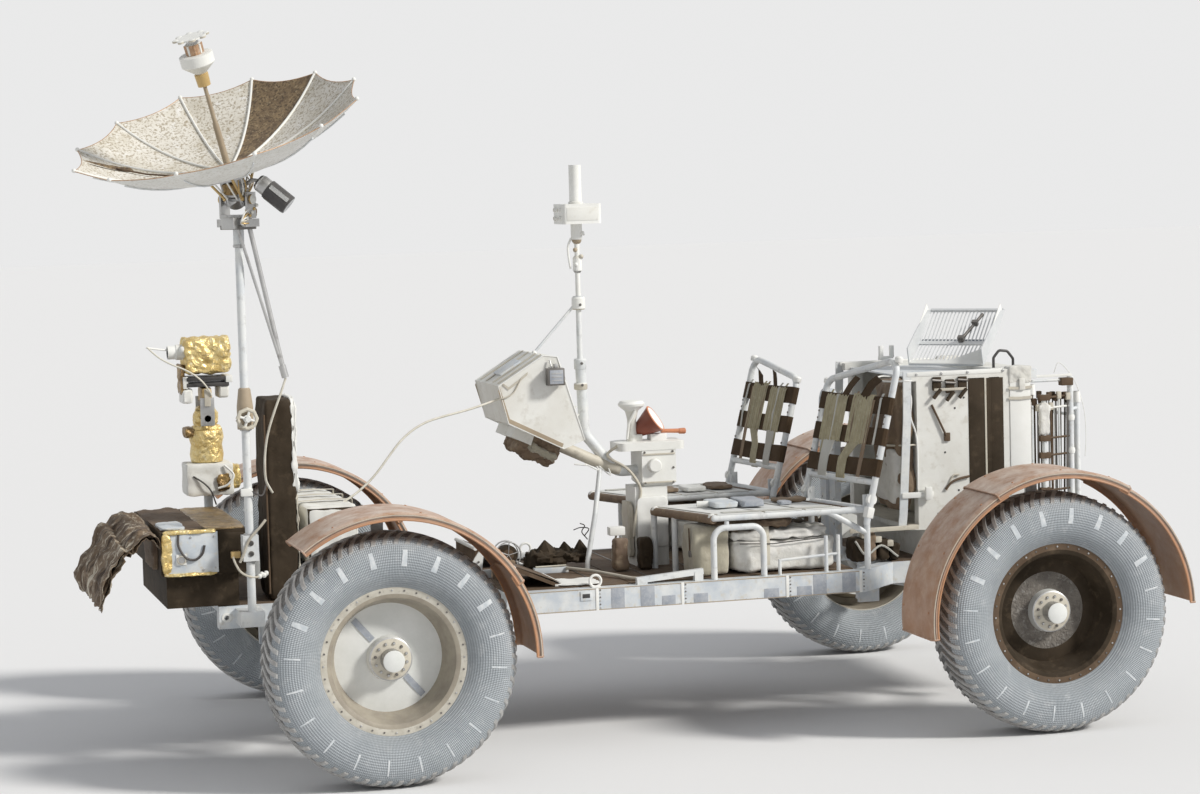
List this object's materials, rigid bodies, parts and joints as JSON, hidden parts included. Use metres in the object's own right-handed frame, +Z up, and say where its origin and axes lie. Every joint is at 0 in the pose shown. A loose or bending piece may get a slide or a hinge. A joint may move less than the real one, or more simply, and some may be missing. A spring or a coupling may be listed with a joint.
{
  "type": "planetary rover",
  "caption": "Open two-seat planetary rover with driven, steered wire wheels, a dish on a mast, a camera, a console, folding webbed seats and a tool pallet.",
  "frame": {"origin": "on the ground, under the middle of the whole rover's box", "axes": "+X forward, +Y to the rover's left, +Z up"},
  "size_m": [3.6707, 2.119, 2.4274],
  "materials": {
    "frame_aluminium": "bare and white-coated aluminium",
    "white_paint": "white thermal paint, dusty",
    "wire_mesh": "woven plated wire with metal cleats",
    "rim_metal": "spun aluminium",
    "fender_shell": "orange-brown glass-fibre, dusty",
    "seat_tube": "drawn tube",
    "webbing": "woven nylon bands",
    "dish_mesh": "fine gold-plated mesh",
    "gold_foil": "crinkled gold foil",
    "blanket_foil": "layered thermal blanket",
    "dark_panel": "dark heat-shield panel",
    "bag_cloth": "white glass-fibre cloth",
    "cord_cover": "white taped lead",
    "tool_metal": "tool handles and wire"
  },
  "bodies": {
    "chassis": {"side_rails": "frame_aluminium", "cross_members": "frame_aluminium", "floor_panels": "frame_aluminium", "suspension_arms": "frame_aluminium", "suspension_brackets": "frame_aluminium", "seat_pans": "seat_tube", "seat_pan_webbing": "webbing", "console": "white_paint", "inboard_handhold": "seat_tube", "control_pedestal": "white_paint", "hand_controller": "white_paint", "dish_mast": "white_paint", "camera_stand": "white_paint", "battery_boxes": "white_paint", "dust_blanket": "blanket_foil", "comms_panel": "dark_panel", "tool_pallet": "white_paint", "pallet_posts": "seat_tube", "rake": "tool_metal", "suspension_dampers": "frame_aluminium", "outboard_handholds": "seat_tube", "rail_fittings": "seat_tube", "footrests": "dark_panel", "floor_units": "dark_panel", "under_seat_bags": "bag_cloth", "centre_panel": "white_paint", "console_gauge": "frame_aluminium", "cabinet_handle": "dark_panel", "stowage_bag": "bag_cloth", "console_lead": "cord_cover", "dish_lead": "cord_cover"},
    "knuckle_front_left": {"knuckle_front_left": "frame_aluminium", "fender_front_left": "fender_shell"},
    "wheel_front_left": {"tyre_front_left": "wire_mesh", "rim_front_left": "rim_metal"},
    "knuckle_front_right": {"knuckle_front_right": "frame_aluminium", "fender_front_right": "fender_shell"},
    "wheel_front_right": {"tyre_front_right": "wire_mesh", "rim_front_right": "rim_metal"},
    "knuckle_rear_left": {"knuckle_rear_left": "frame_aluminium", "fender_rear_left": "fender_shell"},
    "wheel_rear_left": {"tyre_rear_left": "wire_mesh", "rim_rear_left": "rim_metal"},
    "knuckle_rear_right": {"knuckle_rear_right": "frame_aluminium", "fender_rear_right": "fender_shell"},
    "wheel_rear_right": {"tyre_rear_right": "wire_mesh", "rim_rear_right": "rim_metal"},
    "seat_back_left": {"seat_back_frame_left": "seat_tube", "seat_back_webbing_left": "webbing"},
    "seat_back_right": {"seat_back_frame_right": "seat_tube", "seat_back_webbing_right": "webbing"},
    "dish_yoke": {"dish_yoke": "frame_aluminium"},
    "dish": {"dish_reflector": "dish_mesh", "dish_feed": "white_paint", "dish_sight": "dark_panel"},
    "camera_pan": {"camera_pan_unit": "gold_foil"},
    "camera_head": {"camera": "gold_foil", "camera_lead": "cord_cover"},
    "low_gain": {"low_gain_antenna": "white_paint"}
  },
  "joints": [
    {"name": "steer_front_left", "type": "hinge", "parent": "chassis", "child": "knuckle_front_left", "pos_m": [0.935, 0.755, 0.409], "axis": [0, 0, 1], "range_deg": [-22, 50]},
    {"name": "roll_front_left", "type": "hinge", "parent": "knuckle_front_left", "child": "wheel_front_left", "pos_m": [0.935, 0.9145, 0.409], "axis": [0, 1, 0], "continuous": true},
    {"name": "steer_front_right", "type": "hinge", "parent": "chassis", "child": "knuckle_front_right", "pos_m": [0.935, -0.755, 0.409], "axis": [0, 0, 1], "range_deg": [-50, 22]},
    {"name": "roll_front_right", "type": "hinge", "parent": "knuckle_front_right", "child": "wheel_front_right", "pos_m": [0.935, -0.9145, 0.409], "axis": [0, 1, 0], "continuous": true},
    {"name": "steer_rear_left", "type": "hinge", "parent": "chassis", "child": "knuckle_rear_left", "pos_m": [-1.351, 0.755, 0.409], "axis": [0, 0, -1], "range_deg": [-22, 50]},
    {"name": "roll_rear_left", "type": "hinge", "parent": "knuckle_rear_left", "child": "wheel_rear_left", "pos_m": [-1.351, 0.9145, 0.409], "axis": [0, 1, 0], "continuous": true},
    {"name": "steer_rear_right", "type": "hinge", "parent": "chassis", "child": "knuckle_rear_right", "pos_m": [-1.351, -0.755, 0.409], "axis": [0, 0, -1], "range_deg": [-50, 22]},
    {"name": "roll_rear_right", "type": "hinge", "parent": "knuckle_rear_right", "child": "wheel_rear_right", "pos_m": [-1.351, -0.9145, 0.409], "axis": [0, 1, 0], "continuous": true},
    {"name": "fold_seat_back_left", "type": "hinge", "parent": "chassis", "child": "seat_back_left", "pos_m": [-0.825, 0.305, 0.775], "axis": [-0.2368, 0.9715, 0], "range_deg": [0, 105]},
    {"name": "fold_seat_back_right", "type": "hinge", "parent": "chassis", "child": "seat_back_right", "pos_m": [-0.724, -0.34, 0.775], "axis": [-0.1599, 0.9871, 0], "range_deg": [0, 105]},
    {"name": "dish_azimuth", "type": "hinge", "parent": "chassis", "child": "dish_yoke", "pos_m": [1.296, 0.45, 1.88], "axis": [0, 0, 1], "range_deg": [-180, 180]},
    {"name": "dish_elevation", "type": "hinge", "parent": "dish_yoke", "child": "dish", "pos_m": [1.296, 0.45, 1.88], "axis": [-0.6455, 0.7638, 0], "range_deg": [-20.7, 69.3]},
    {"name": "camera_turn", "type": "hinge", "parent": "chassis", "child": "camera_pan", "pos_m": [1.312, -0.35, 1.106], "axis": [0, 0, 1], "range_deg": [-134, 214]},
    {"name": "camera_tilt", "type": "hinge", "parent": "camera_pan", "child": "camera_head", "pos_m": [1.312, -0.35, 1.106], "axis": [0, 1, 0], "range_deg": [-85, 45]},
    {"name": "low_gain_turn", "type": "hinge", "parent": "chassis", "child": "low_gain", "pos_m": [0.025, 0, 1.5], "axis": [0, 0, 1], "range_deg": [-180, 180]}
  ]
}
